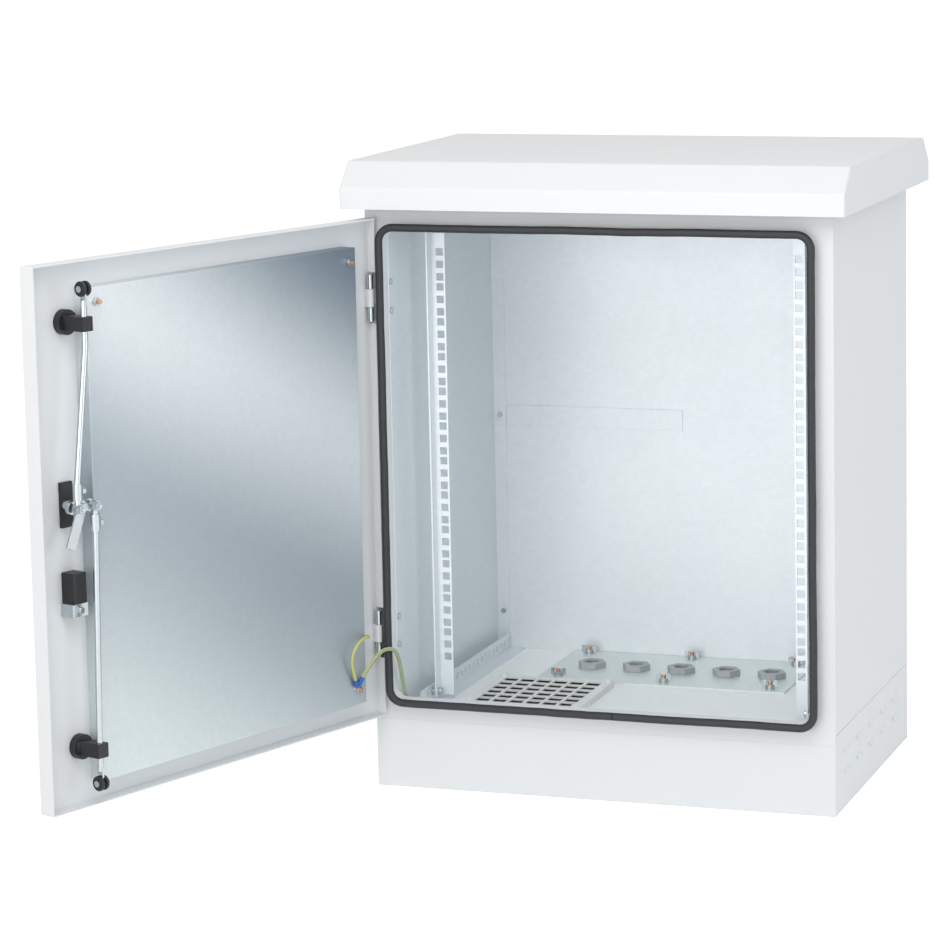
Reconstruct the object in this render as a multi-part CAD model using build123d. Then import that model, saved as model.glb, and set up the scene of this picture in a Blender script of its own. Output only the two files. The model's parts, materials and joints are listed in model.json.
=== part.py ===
from build123d import *
import os
from math import atan2, pi, radians, sin, tan

# Roadside utility cabinet for a 12-unit rack, with its door open.
# Millimetres, +Z up, X across the door, Y from the front to the back.
# The origin is the centre of the plinth's footprint, on the ground.
# The door's pieces are placed as if the door were shut, then swung open.

# Driving dimensions: body and plinth
width = 594.0
depth = 400.0
sheet = 1.5
plinth_height = 88.0
side_seam_height = 101.0
seam_gap = 0.5
roof_height = 748.0
plinth_flange = 35.0
anchor_inset = 20.0
anchor_spacing_y = 300.0
anchor_radius = 6.0

# Driving dimensions: hood
hood_width = 637.0
hood_front_overhang = 30.0
hood_rear_overhang = 40.0
hood_skirt = 26.0
hood_slope_rise = 31.5
hood_slope_run = 32.0
hood_gap = 43.5
hood_spacer_radius = 10.0
hood_spacer_inset_x = 77.0
hood_spacer_inset_y = 60.0

# Driving dimensions: door opening, lip and gasket
opening_width = 539.0
opening_bottom = 116.0
opening_below_roof = 40.0
opening_corner = 14.0
lip_forward = 14.0
lip_back = 5.0
gasket_inside = 1.0
gasket_width = 10.0
gasket_back = 10.0

# Driving dimensions: door
door_width = 586.0
door_bottom = 97.0
door_below_roof = 24.5
door_depth = 21.0
door_gap = 1.0
gasket_clearance = 0.3
open_angle = 110.0
hinge_flange = 12.0
corner_relief = 10.0
door_lining_below_top = 31.5
door_lining_above_bottom = 25.0
door_lining_hinge_edge = 48.0
door_lining_free_edge = 506.0
door_lining_depth = 20.0
thin_sheet = 1.0

# Driving dimensions: hinges
pin_inset_x = 6.5
pin_behind_skin = 8.0
pin_radius = 2.5
lug_radius = 4.0
lug_height = 18.0
knuckle_radius = 4.6
knuckle_height = 22.0
hinge_clearance = 0.3
hinge_inset = 84.0
hinge_knuckle_arm = 6.0
lug_arm_width = 6.0
hinge_plate_thickness = 3.0
hinge_plate_half_height = 33.0
hinge_screw_reach = 18.0
hinge_screw_radius = 4.0
hinge_screw_head = 2.5

# Driving dimensions: inner walls and floor
wall_cavity = 26.5
rear_gap = 4.0
rear_strip = 17.0
floor_top = 92.5
ceiling_below_roof = 7.0
strap_height = 28.0
strap_bottom = 400.5
strap_length = 247.0
strap_proud = 1.0
strip_screw_heights = (414.5, 144.0)
strip_screw_radius = 3.5
strip_screw_head = 2.0

# Driving dimensions: rack
rack_unit = 44.45
rack_units = 12
rack_below_opening = 31.0
rack_hole_offsets = (6.35, 22.225, 38.1)
rack_hole_columns = 465.1
rack_hole = 9.5
upright_face_y = 90.0
upright_face_width = 19.0
upright_side_depth = 18.0
upright_sheet = 2.0
upright_bottom = 100.0
upright_below_roof = 15.0
rail_start_y = 40.0
rail_height = 21.5
rail_flange = 23.0
rail_inset = 16.0
rail_slot_pitch = 16.0
rail_slot_width = 6.0
rail_slot_height = 8.0
rail_slot_first_y = 65.0
rail_slots = 21
rail_bolt_radius = 4.0
rail_bolt_head_radius = 5.0
rail_bolt_head = 4.0
rail_bolt_insets = (6.0, 3.0)

# Driving dimensions: floor fittings
gland_plate_left = -160.0
gland_plate_right = 175.0
gland_plate_front_y = 226.0
gland_plate_back_y = 392.0
gland_plate_thickness = 2.0
gland_row_y = 303.0
gland_first_x = -107.0
gland_pitch = 61.4
gland_count = 5
gland_bore_radius = 9.7
gland_tube_radius = 12.3
gland_length_below = 34.0
gland_hex = 33.0
locknut_height = 8.0
gland_foot_height = 10.0
floor_opening_margin = 10.0
gland_opening_margin = 25.0
stud_x = (-135.0, 9.0, 152.0)
stud_y = (244.0, 379.0)
stud_radius = 3.0
stud_height = 12.0
wing_nut_radius = 6.0
wing_nut_height = 6.0
wing_span = 20.0
wing_foot = 2.0
wing_notch = 4.5
wing_height = 11.0
wing_thickness = 2.0
grille_left = -202.0
grille_front_y = 55.0
grille_size = 154.0
grille_height = 8.0
grille_rim = 12.0
grille_columns = 6
grille_bar = 4.0
grille_bar_depth = 2.0
grille_wall = 3.0
filter_thickness = 4.5
grille_screw_radius = 4.5
grille_screw_height = 3.5

# Driving dimensions: plinth vents
vent_first_y = 57.0
vent_pitch_y = 66.6
vent_columns = 5
vent_heights = (73.5, 48.0)
vent_length = 22.0
vent_height = 6.0
vent_proud = 3.5

# Driving dimensions: door lock, all measured on the shut door
lock_from_hinge_edge = 532.0
lock_height = 447.0
rod_from_hinge_edge = 525.0
rod_depth = 36.5
rod_radius = 3.75
pin_circle = 13.0
top_roller_below_opening = 14.0
bottom_roller_above_opening = 10.5
roller_radius = 8.75
roller_width = 3.6
roller_plate = 3.0
roller_plate_width = 8.0
roller_plate_end = 6.0
rod_end = 15.0
roller_axle_radius = 2.6
running_clearance = 0.06
side_clearance = 0.3
top_guide_below_opening = 53.5
bottom_guide_above_opening = 49.0
guide_base_radius = 14.5
guide_base_depth = 11.0
guide_height = 16.5
guide_wall = 4.0
guide_front_wall = 2.2
spindle_radius = 6.0
boss_radius = 8.5
lock_plate_width = 18.0
lock_plate_height = 52.0
lock_plate_thickness = 4.5
cam_width = 15.0
cam_bolt_flats = 9.0
cam_bolt_height = 5.0
cam_front = 23.0
cam_thickness = 5.3
tongue_thickness = 2.5
tongue_length = 50.0
tongue_width = 14.0
tongue_angle = 24.0
eye_radius = 6.0
sleeve_radius = 5.5
sleeve_length = 19.0
case_width = 20.0
case_height = 35.5
case_below_lock = 112.5
case_depth = 20.5
case_wall = 2.5
clamp_height = 15.0
clamp_width = 24.0
clamp_sheet = 2.0
clamp_screw_radius = 4.0
barrel_radius = 5.5
barrel_below_lock = 102.0
barrel_tail = 6.8
key_slot_half_width = 0.8
key_slot_half_height = 3.5

# Driving dimensions: outside handle
base_thickness = 8.0
base_width = 32.0
base_below_lock = 129.0
base_above_lock = 28.0
handle_clearance = 1.0
grip_thickness = 11.0
grip_length = 105.0
grip_width = 22.0
hub_radius = 13.0
lift_pin_reach = 21.0
lift_pin_radius = 2.5
ear_radius = 5.5
tongue_half_width = 5.0
keeper_depth = 8.0

# Driving dimensions: fixings and earth leads
door_stud_radius = 2.5
door_stud_length = 30.5
door_nut_flats = 9.0
door_nut_height = 4.5
lining_stud_inset = 14.0
lining_stud_below_top = 17.0
earth_stud_from_hinge_edge = 66.0
earth_stud_height = 142.0
lead_diameter = 5.0
ring_radius = 5.0
ring_thickness = 0.8
terminal_sleeve_radius = 3.2
terminal_sleeve_length = 10.0

# Places worked out from the driving dimensions
half_width = width / 2
front = -depth / 2
back = depth / 2
wall = half_width - sheet - wall_cavity
lining_back = depth - sheet - rear_gap
skin = front - door_gap - door_depth
bend_gap = pin_circle + rod_radius
opening_top = roof_height - opening_below_roof
door_top = roof_height - door_below_roof
ceiling_height = roof_height - ceiling_below_roof
upright_top = roof_height - upright_below_roof
rack_top = opening_top - rack_below_opening
hinge_heights = (opening_top - hinge_inset, opening_bottom + hinge_inset)
top_roller_height = opening_top - top_roller_below_opening
bottom_roller_height = opening_bottom + bottom_roller_above_opening
guide_heights = (opening_top - top_guide_below_opening, opening_bottom + bottom_guide_above_opening)
lining_z = (door_bottom + door_lining_above_bottom, door_top - door_lining_below_top)
base_z = (lock_height - base_below_lock, lock_height + base_above_lock)
case_bottom = lock_height - case_below_lock
barrel_height = lock_height - barrel_below_lock
hinge_edge = -door_width / 2
pin_x = hinge_edge + pin_inset_x
pin_y = skin + pin_behind_skin
gasket_front = skin + sheet + gasket_clearance
opening_middle = (opening_bottom + opening_top) / 2
opening_height = opening_top - opening_bottom
swing = Pos(pin_x, pin_y, 0) * Rot(0, 0, -open_angle) * Pos(-pin_x, -pin_y, 0)
os.makedirs("parts", exist_ok=True)


def block(x, y, z):
    """Return a box that spans the three (low, high) pairs."""
    size = (x[1] - x[0], y[1] - y[0], z[1] - z[0])
    middle = Pos((x[0] + x[1]) / 2, (y[0] + y[1]) / 2, (z[0] + z[1]) / 2)
    return middle * Box(*size)


def slab(half, y, z, corner):
    """Return an upright rounded rectangle, centred on X, that spans y."""
    outline = RectangleRounded(2 * half, z[1] - z[0], corner)
    face = Pos(0, y[1], (z[0] + z[1]) / 2) * Rot(90, 0, 0) * outline
    return extrude(face, amount=y[1] - y[0])


def round_bar(x, y, z, radius):
    """Return a cylinder along the one axis whose value is a (low, high) pair."""
    if isinstance(z, tuple):
        place = Pos(x, y, (z[0] + z[1]) / 2)
        length = z[1] - z[0]
    elif isinstance(y, tuple):
        place = Pos(x, (y[0] + y[1]) / 2, z) * Rot(90, 0, 0)
        length = y[1] - y[0]
    else:
        place = Pos((x[0] + x[1]) / 2, y, z) * Rot(0, 90, 0)
        length = x[1] - x[0]
    return place * Cylinder(radius, length)


def strut(start, end, radius):
    """Return a round bar between two points, with a ball at each end."""
    line = Line(start, end)
    plane = Plane(origin=line @ 0, z_dir=line % 0)
    bar = extrude(plane * Circle(radius), amount=line.length)
    return bar + Pos(*start) * Sphere(radius) + Pos(*end) * Sphere(radius)


def hexagon(x, y, z, flats):
    """Return a hexagonal prism along Z, or along Y when y is a (low, high) pair."""
    outline = RegularPolygon(flats / 2, 6, major_radius=False)
    if isinstance(y, tuple):
        return extrude(Pos(x, y[1], z) * Rot(90, 0, 0) * outline, amount=y[1] - y[0])
    return extrude(Pos(x, y, z[0]) * outline, amount=z[1] - z[0])


def from_front(near, far):
    """Return a Y span measured back from the front face of the body."""
    return (front + near, front + far)


def in_door(near, far):
    """Return a Y span measured inwards from the outer skin of the shut door."""
    return (skin + near, skin + far)


def along_door(near, far):
    """Return an X span measured from the hinge edge of the shut door."""
    return (hinge_edge + near, hinge_edge + far)


def both_sides(shape):
    """Return a shape and its mirror image across the middle of the cabinet."""
    return [shape, mirror(shape, Plane.YZ)]


def save(name, *shapes):
    """Write one node from one or more separate solids."""
    solids = [solid for shape in shapes for solid in shape.solids()]
    export_step(Compound(children=solids) if len(solids) > 1 else solids[0], f"parts/{name}.step")


def save_on_door(name, *shapes):
    """Write one node of the door, swung open with the door."""
    save(name, *[swing * shape for shape in shapes])


# Plinth
def plinth_plate(y_outer, y_inner, inward):
    """Return the front or rear plate of the plinth with its top and bottom flanges."""
    flange_y = sorted((y_inner, y_inner + inward * plinth_flange))
    plate = block((-half_width, half_width), sorted((y_outer, y_inner)), (0, plinth_height))
    inset = half_width - sheet - plinth_flange
    top = block((-inset, inset), flange_y, (plinth_height - sheet, plinth_height))
    bottom = block((-inset, inset), flange_y, (0, sheet))
    return plate + top + bottom


def prism(points, y, length):
    """Return a section of (x, z) points, extruded along Y about its middle."""
    face = Plane.XZ.offset(-(y + length / 2)) * make_face(Polyline(*points, close=True))
    return extrude(face, amount=length)


def vent_hood(y, z):
    """Return the pressed hood of one vent on the right-hand side of the plinth."""
    rise = vent_height / 2
    root = half_width - sheet / 2
    points = [(root, z + rise + sheet), (half_width + vent_proud, z - rise), (root, z - rise)]
    return prism(points, y, vent_length + 2 * sheet)


def vent_slot(y, z):
    """Return the space inside one vent, which opens downwards under its hood."""
    rise = vent_height / 2
    inner = half_width - 2 * sheet
    points = [(inner, z + rise), (half_width, z + rise), (half_width + vent_proud - sheet, z - rise), (inner, z - rise)]
    return prism(points, y, vent_length)


def plinth_side():
    """Return the right-hand side plate of the plinth, with vents and anchor holes."""
    top = side_seam_height - seam_gap
    inner = half_width - sheet
    side_y = (front + sheet, back - sheet)
    plate = block((inner, half_width), side_y, (0, top))
    foot = block((inner - plinth_flange, inner), side_y, (0, sheet))
    side = plate + foot
    for column in range(vent_columns):
        for height in vent_heights:
            y = front + vent_first_y + column * vent_pitch_y
            side += vent_hood(y, height)
            side -= vent_slot(y, height)
    for y in (-anchor_spacing_y / 2, anchor_spacing_y / 2):
        side -= round_bar(half_width - anchor_inset, y, (-sheet, 2 * sheet), anchor_radius)
    return side


save("plinth_front", plinth_plate(front, front + sheet, 1))
save("plinth_rear", plinth_plate(back, back - sheet, -1))
right_side, left_side = both_sides(plinth_side())
save("plinth_side_right", right_side)
save("plinth_side_left", left_side)


# Outer shell: front frame with its forward lip, both sides and the roof
def outer_shell():
    """Return the folded and welded outer shell of the body."""
    inner = half_width - sheet
    rear = back - sheet
    shell = block((-half_width, half_width), (front, rear), (plinth_height, roof_height))
    shell -= block((-inner, inner), (front + sheet, rear), (plinth_height, roof_height - sheet))
    for x in ((-half_width, -inner), (inner, half_width)):
        shell -= block(x, (front + sheet, rear), (plinth_height, side_seam_height))
    flange = plinth_flange + sheet
    shell += block((-inner + flange, inner - flange), (front + sheet, front + flange), (plinth_height, plinth_height + sheet))
    for x in ((-inner, wall * -1 - thin_sheet), (wall + thin_sheet, inner)):
        shell += block(x, (front + sheet, rear), (side_seam_height, side_seam_height + sheet))
    half = opening_width / 2
    lip_y = (front - lip_forward, front + lip_back)
    lip_z = (opening_bottom - sheet, opening_top + sheet)
    shell += slab(half + sheet, lip_y, lip_z, opening_corner + sheet)
    shell -= slab(half, lip_y, (opening_bottom, opening_top), opening_corner)
    for centre in hinge_heights:
        for z in lug_centres(centre):
            shell -= block((pin_x - lug_arm_width / 2 - side_clearance, pin_x + lug_arm_width / 2 + side_clearance),
                           (front, front + sheet),
                           (z - lug_height / 2 - side_clearance, z + lug_height / 2 + side_clearance))
    return shell


def lug_centres(centre):
    """Return the heights of the two lugs of the hinge at this height."""
    reach = knuckle_height / 2 + hinge_clearance + lug_height / 2
    return (centre + reach, centre - reach)


save("outer_shell", outer_shell())

rear_fold = 12.0
rear_plate = block((-half_width, half_width), (back - sheet, back), (plinth_height, roof_height))
fold_outer = half_width - sheet - side_clearance
rear_ring = block((-fold_outer, fold_outer), (back - sheet - rear_gap, back - sheet),
                  (side_seam_height + sheet + side_clearance, roof_height - sheet - side_clearance))
rear_ring -= block((-fold_outer + rear_fold, fold_outer - rear_fold), (back - sheet - rear_gap, back - sheet),
                   (side_seam_height + rear_fold, roof_height - rear_fold))
save("rear_panel", rear_plate + rear_ring)

# Gasket: an edge trim that grips the forward lip
gasket_half = opening_width / 2 - gasket_inside
gasket_z = (opening_bottom + gasket_inside, opening_top - gasket_inside)
gasket_y = (gasket_front, front - gasket_back)
gasket = slab(gasket_half + gasket_width, gasket_y, (gasket_z[0] - gasket_width, gasket_z[1] + gasket_width),
              opening_corner + gasket_width)
gasket -= slab(gasket_half, gasket_y, gasket_z, opening_corner - gasket_inside)
lip_slot_y = (front - lip_forward, front - gasket_back)
gasket -= (slab(opening_width / 2 + sheet, lip_slot_y, (opening_bottom - sheet, opening_top + sheet), opening_corner + sheet)
           - slab(opening_width / 2, lip_slot_y, (opening_bottom, opening_top), opening_corner))
save("gasket", gasket)


# Inner walls, ceiling and rear wall
def side_lining():
    """Return the right-hand inner wall with its rear strip."""
    height = (floor_top, ceiling_height)
    plate = block((wall, wall + thin_sheet), from_front(lip_back, lining_back - thin_sheet), height)
    strip_y = from_front(lining_back - 2 * thin_sheet, lining_back - thin_sheet)
    return plate + block((wall - rear_strip, wall), strip_y, height)


keeper_z = (lock_height, lock_height + tongue_length * sin(radians(tongue_angle)) + tongue_width)
right_lining, left_lining = both_sides(side_lining())
right_lining -= block((wall, wall + thin_sheet), from_front(lip_back, lip_back + keeper_depth), keeper_z)
save("lining_right", right_lining)
save("lining_left", left_lining)
lining_y = from_front(lip_back, lining_back)
save("lining_ceiling", block((-wall - thin_sheet, wall + thin_sheet), lining_y, (ceiling_height, ceiling_height + thin_sheet)))

rear_lining = block((-wall - thin_sheet, wall + thin_sheet), from_front(lining_back - thin_sheet, lining_back),
                    (floor_top, ceiling_height))
strap_left = -wall + rear_strip + seam_gap
rear_lining += block((strap_left, strap_left + strap_length), from_front(lining_back - thin_sheet - strap_proud, lining_back),
                     (strap_bottom, strap_bottom + strap_height))
save("rear_lining", rear_lining)
strip_screw_y = from_front(lining_back - 2 * thin_sheet - strip_screw_head, lining_back - 2 * thin_sheet)
strip_screws = [round_bar(-wall + rear_strip / 2, strip_screw_y, z, strip_screw_radius) for z in strip_screw_heights]
save("strip_screws", *strip_screws)

# Floor plate, with an opening under the gland plate and one under the grille
grille_x = (grille_left, grille_left + grille_size)
grille_y = from_front(grille_front_y, grille_front_y + grille_size)
gland_plate_y = from_front(gland_plate_front_y, gland_plate_back_y)
floor_z = (plinth_height + sheet, floor_top)
floor_half = wall + thin_sheet
floor = block((-floor_half, floor_half), from_front(sheet, lining_back), floor_z)
floor -= block((-floor_half + sheet, floor_half - sheet), from_front(2 * sheet, lining_back - sheet),
               (floor_z[0], floor_top - sheet))
margin = floor_opening_margin
floor -= block((grille_x[0] + margin, grille_x[1] - margin), (grille_y[0] + margin, grille_y[1] - margin), floor_z)
floor -= block((gland_plate_left + margin, gland_plate_right - margin),
               (gland_plate_y[0] + gland_opening_margin, gland_plate_y[1] - gland_opening_margin), floor_z)
save("floor_plate", floor)

# Gland plate, studs, wing nuts and cable glands
gland_x = [gland_first_x + index * gland_pitch for index in range(gland_count)]
plate_top = floor_top + gland_plate_thickness
gland_plate = block((gland_plate_left, gland_plate_right), gland_plate_y, (floor_top, plate_top))
stud_places = [(x, front + y) for x in stud_x for y in stud_y]
for x in gland_x:
    gland_plate -= round_bar(x, front + gland_row_y, (floor_top, plate_top), gland_tube_radius + running_clearance)
for x, y in stud_places:
    gland_plate -= round_bar(x, y, (floor_top, plate_top), stud_radius + running_clearance)
save("gland_plate", gland_plate)


def wing_nut(x, y):
    """Return one wing nut on its stud, with its wings across X."""
    base = round_bar(x, y, (plate_top, plate_top + wing_nut_height), wing_nut_radius)
    wings = block((x - wing_span / 2, x + wing_span / 2), (y - wing_thickness / 2, y + wing_thickness / 2),
                  (plate_top + wing_foot, plate_top + wing_height))
    wings -= block((x - wing_notch, x + wing_notch), (y - wing_thickness / 2, y + wing_thickness / 2),
                   (plate_top + wing_nut_height, plate_top + wing_height))
    return base + wings - round_bar(x, y, (plate_top, plate_top + wing_height), stud_radius)


save("gland_plate_studs", *[round_bar(x, y, (floor_top, floor_top + stud_height), stud_radius) for x, y in stud_places])
save("wing_nuts", *[wing_nut(x, y) for x, y in stud_places])


def gland(x):
    """Return one cable gland: a tube through the plate with a hexagon under it."""
    y = front + gland_row_y
    top = plate_top + locknut_height
    body = round_bar(x, y, (plate_top - gland_length_below, top), gland_tube_radius)
    body += hexagon(x, y, (floor_top - gland_foot_height, floor_top), gland_hex)
    return body - round_bar(x, y, (plate_top - gland_length_below, top), gland_bore_radius)


def locknut(x):
    """Return the hexagonal locknut of one gland."""
    y = front + gland_row_y
    nut = hexagon(x, y, (plate_top, plate_top + locknut_height), gland_hex)
    return nut - round_bar(x, y, (plate_top, plate_top + locknut_height), gland_tube_radius + running_clearance)


save("gland_bodies", *[gland(x) for x in gland_x])
save("gland_locknuts", *[locknut(x) for x in gland_x])

# Vent grille in the floor, with its screws
grille = block(grille_x, grille_y, (floor_top, floor_top + grille_height))
cell = (grille_size - 2 * grille_rim + grille_bar) / grille_columns
for column in range(grille_columns):
    for row in range(grille_columns):
        x = grille_x[0] + grille_rim + column * cell
        y = grille_y[0] + grille_rim + row * cell
        grille -= block((x, x + cell - grille_bar), (y, y + cell - grille_bar), (floor_top, floor_top + grille_height))
grille_pocket = [(low + grille_wall, high - grille_wall) for low, high in (grille_x, grille_y)]
grille -= block(*grille_pocket, (floor_top, floor_top + grille_height - grille_bar_depth))
filter_span = [(low + side_clearance, high - side_clearance) for low, high in grille_pocket]
save("grille_filter", block(*filter_span, (floor_top, floor_top + filter_thickness)))
grille_top = floor_top + grille_height
inset = grille_rim / 2
grille_screws = [round_bar(x, y, (grille_top, grille_top + grille_screw_height), grille_screw_radius)
                 for x in (grille_x[0] + inset, grille_x[1] - inset) for y in (grille_y[0] + inset, grille_y[1] - inset)]
save("vent_grille", grille, *grille_screws)


# Rack: four slotted depth rails and two drilled uprights
rail_web = wall - rail_inset
rail_z = (floor_top, floor_top + rail_height)
rail_end_y = lining_back - 2 * thin_sheet - seam_gap


def lower_rail():
    """Return the right-hand lower depth rail, an angle with a slotted web."""
    rail = block((rail_web - sheet, rail_web), from_front(rail_start_y, rail_end_y), rail_z)
    rail += block((rail_web - rail_flange, rail_web), from_front(rail_start_y, rail_end_y), (floor_top, floor_top + sheet))
    for index in range(rail_slots):
        y = rail_slot_first_y + index * rail_slot_pitch
        middle = rail_z[0] + rail_height * 0.5
        if y + rail_slot_width < rail_end_y:
            rail -= block((rail_web - sheet, rail_web), from_front(y - rail_slot_width / 2, y + rail_slot_width / 2),
                          (middle - rail_slot_height / 2, middle + rail_slot_height / 2))
    return rail


lower_right, lower_left = both_sides(lower_rail())
middle_height = Plane.XY.offset((floor_top + ceiling_height) / 2)
save("depth_rail_lower_right", lower_right)
save("depth_rail_lower_left", lower_left)
save("depth_rail_upper_right", mirror(lower_right, middle_height))
save("depth_rail_upper_left", mirror(lower_left, middle_height))

upright_web = (rack_hole_columns + upright_face_width + 5.0) / 2


def upright():
    """Return the right-hand upright with its square holes."""
    z = (upright_bottom, upright_top)
    face_y = from_front(upright_face_y, upright_face_y + upright_sheet)
    post = block((upright_web - upright_face_width, upright_web), face_y, z)
    side_y = from_front(upright_face_y - upright_side_depth, upright_face_y + upright_sheet)
    post += block((upright_web - upright_sheet, upright_web), side_y, z)
    column = rack_hole_columns / 2
    for unit in range(rack_units):
        for offset in rack_hole_offsets:
            middle = rack_top - unit * rack_unit - offset
            post -= block((column - rack_hole / 2, column + rack_hole / 2), face_y,
                          (middle - rack_hole / 2, middle + rack_hole / 2))
    return post


right_upright, left_upright = both_sides(upright())
save("upright_right", right_upright)
save("upright_left", left_upright)

bolt_y = front + upright_face_y - upright_side_depth / 2
bolt_heights = (upright_bottom + rail_bolt_insets[0], upright_top - rail_bolt_insets[1])
rail_bolts = []
for z in bolt_heights:
    spacer = round_bar((upright_web, rail_web - sheet), bolt_y, z, rail_bolt_radius)
    head = round_bar((upright_web - upright_sheet - rail_bolt_head, upright_web - upright_sheet), bolt_y, z, rail_bolt_head_radius)
    rail_bolts += both_sides(spacer) + both_sides(head)
save("rail_bolts", *rail_bolts)


# Hood on four spacers
def hood_profile(inset):
    """Return the hood's section in the YZ plane, moved inwards by a sheet's thickness."""
    top = roof_height + hood_gap + sheet - inset
    bottom = roof_height + hood_gap + sheet - hood_slope_rise - hood_skirt
    fold = roof_height + hood_gap + sheet - hood_slope_rise - inset * tan(atan2(hood_slope_run, hood_slope_rise) / 2)
    near = front - hood_front_overhang + inset
    far = back + hood_rear_overhang - inset
    run = hood_slope_run - inset * tan(atan2(hood_slope_rise, hood_slope_run) / 2)
    return [(near, bottom), (near, fold), (near + run, top), (far - run, top), (far, fold), (far, bottom)]


def hood_solid(inset):
    """Return the hood's section as a solid across its width."""
    half = hood_width / 2 - inset
    face = Plane.YZ.offset(-half) * make_face(Polyline(*hood_profile(inset), close=True))
    return extrude(face, amount=2 * half)


save("hood", hood_solid(0) - hood_solid(sheet))
spacers = [round_bar(x, y, (roof_height, roof_height + hood_gap), hood_spacer_radius)
           for x in (-half_width + hood_spacer_inset_x, half_width - hood_spacer_inset_x)
           for y in (front + hood_spacer_inset_y, back - hood_spacer_inset_y)]
save("hood_spacers", *spacers)


# Hinges: two lugs on a bracket in the wall, a pin and a knuckle on the door
hinge_plate_x = (-wall - thin_sheet - hinge_plate_thickness, -wall - thin_sheet)


def hinge_bracket(centre):
    """Return the two lugs of one hinge, with the bracket behind the frame."""
    plate = block(hinge_plate_x, from_front(lip_back + 1.0, lip_back + 17.0), (centre - hinge_plate_half_height, centre + hinge_plate_half_height))
    arm_x = (pin_x - lug_arm_width / 2, pin_x + lug_arm_width / 2)
    for z in lug_centres(centre):
        span = (z - lug_height / 2, z + lug_height / 2)
        plate += block(arm_x, (pin_y, front + lip_back + 11.0), span)
        plate += block((arm_x[0], hinge_plate_x[0]), from_front(lip_back + 5.0, lip_back + 11.0), span)
        plate += round_bar(pin_x, pin_y, span, lug_radius)
    for z in lug_centres(centre):
        plate -= round_bar(pin_x, pin_y, (z - lug_height / 2, z + lug_height / 2), pin_radius)
    return plate


def hinge_pin(centre):
    """Return the pin of one hinge, through both lugs and the knuckle."""
    reach = knuckle_height / 2 + hinge_clearance + lug_height
    return round_bar(pin_x, pin_y, (centre - reach, centre + reach), pin_radius)


def hinge_knuckle(centre):
    """Return the door's knuckle with the arm that welds it to the skin."""
    span = (centre - knuckle_height / 2, centre + knuckle_height / 2)
    knuckle = round_bar(pin_x, pin_y, span, knuckle_radius)
    knuckle += block((pin_x - hinge_knuckle_arm / 2, pin_x + hinge_knuckle_arm / 2), (skin + sheet, pin_y), span)
    return knuckle - round_bar(pin_x, pin_y, span, pin_radius + running_clearance)


for name, centre in zip(("upper", "lower"), hinge_heights):
    save(f"hinge_bracket_{name}", hinge_bracket(centre))
save("hinge_pins", *[hinge_pin(centre) for centre in hinge_heights])
save_on_door("hinge_knuckles", *[hinge_knuckle(centre) for centre in hinge_heights])
hinge_screws = [round_bar((-wall, -wall + hinge_screw_head), front + 2 * lip_back, centre + side, hinge_screw_radius)
                for centre in hinge_heights for side in (-hinge_screw_reach, hinge_screw_reach)]
save("hinge_screws", *hinge_screws)


# Door: painted pan, galvanised lining and its studs
lock_x = hinge_edge + lock_from_hinge_edge
rod_x = hinge_edge + rod_from_hinge_edge


def door_pan():
    """Return the painted door pan with its flanges and cut-outs."""
    free_edge = hinge_edge + door_width
    pan = block((hinge_edge, free_edge), in_door(0, door_depth), (door_bottom, door_top))
    pan -= block((hinge_edge + sheet, free_edge - sheet), in_door(sheet, door_depth), (door_bottom + sheet, door_top - sheet))
    pan -= block((hinge_edge, hinge_edge + sheet), in_door(hinge_flange, door_depth), (door_bottom, door_top))
    relief = corner_relief
    pan -= block((hinge_edge, hinge_edge + relief), in_door(hinge_flange, door_depth), (door_bottom, door_top))
    for centre in hinge_heights:
        reach = knuckle_height / 2 + lug_height + 3.0
        pan -= block((hinge_edge, hinge_edge + sheet), in_door(sheet, door_depth), (centre - reach, centre + reach))
    pan -= round_bar(lock_x, in_door(0, sheet), lock_height, boss_radius)
    pan -= round_bar(lock_x, in_door(0, sheet), barrel_height, barrel_radius + 3.0)
    return pan


save_on_door("door_pan", door_pan())

lining_x = along_door(door_lining_hinge_edge, door_lining_free_edge)
lining_face = sheet + door_lining_depth
door_lining = block(lining_x, in_door(sheet, lining_face), lining_z)
door_lining -= block((lining_x[0] + thin_sheet, lining_x[1] - thin_sheet), in_door(sheet, lining_face - thin_sheet),
                     (lining_z[0] + thin_sheet, lining_z[1] - thin_sheet))
lining_stud_height = lining_z[1] - lining_stud_below_top
stud_spots = [(lining_x[1] - lining_stud_inset, lining_stud_height), (lining_x[0] + lining_stud_inset, lining_stud_height),
              (hinge_edge + earth_stud_from_hinge_edge, earth_stud_height)]
for x, z in stud_spots:
    door_lining -= round_bar(x, in_door(lining_face - thin_sheet, lining_face), z, door_stud_radius + running_clearance)
save_on_door("door_lining", door_lining)
save_on_door("door_studs", *[round_bar(x, in_door(sheet, door_stud_length), z, door_stud_radius) for x, z in stud_spots])
door_nuts = []
ring_stack = 2 * ring_thickness
for x, z in stud_spots:
    lift = ring_stack if z == earth_stud_height else 0.0
    nut_y = in_door(lining_face + lift, lining_face + lift + door_nut_height)
    door_nuts.append(hexagon(x, nut_y, z, door_nut_flats) - round_bar(x, nut_y, z, door_stud_radius))
save_on_door("door_nuts", *door_nuts)


# Lock on the inside of the door
def rod_guide(height):
    """Return one plastic guide: a round foot and an eye around the rod."""
    z = (height - guide_height / 2, height + guide_height / 2)
    eye = rod_radius + guide_wall
    guide = round_bar(rod_x, in_door(sheet, guide_base_depth), height, guide_base_radius)
    guide += block((rod_x - eye, rod_x + eye), in_door(guide_base_depth, rod_depth + rod_radius + guide_front_wall), z)
    return guide - round_bar(rod_x, skin + rod_depth, z, rod_radius + running_clearance)


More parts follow.
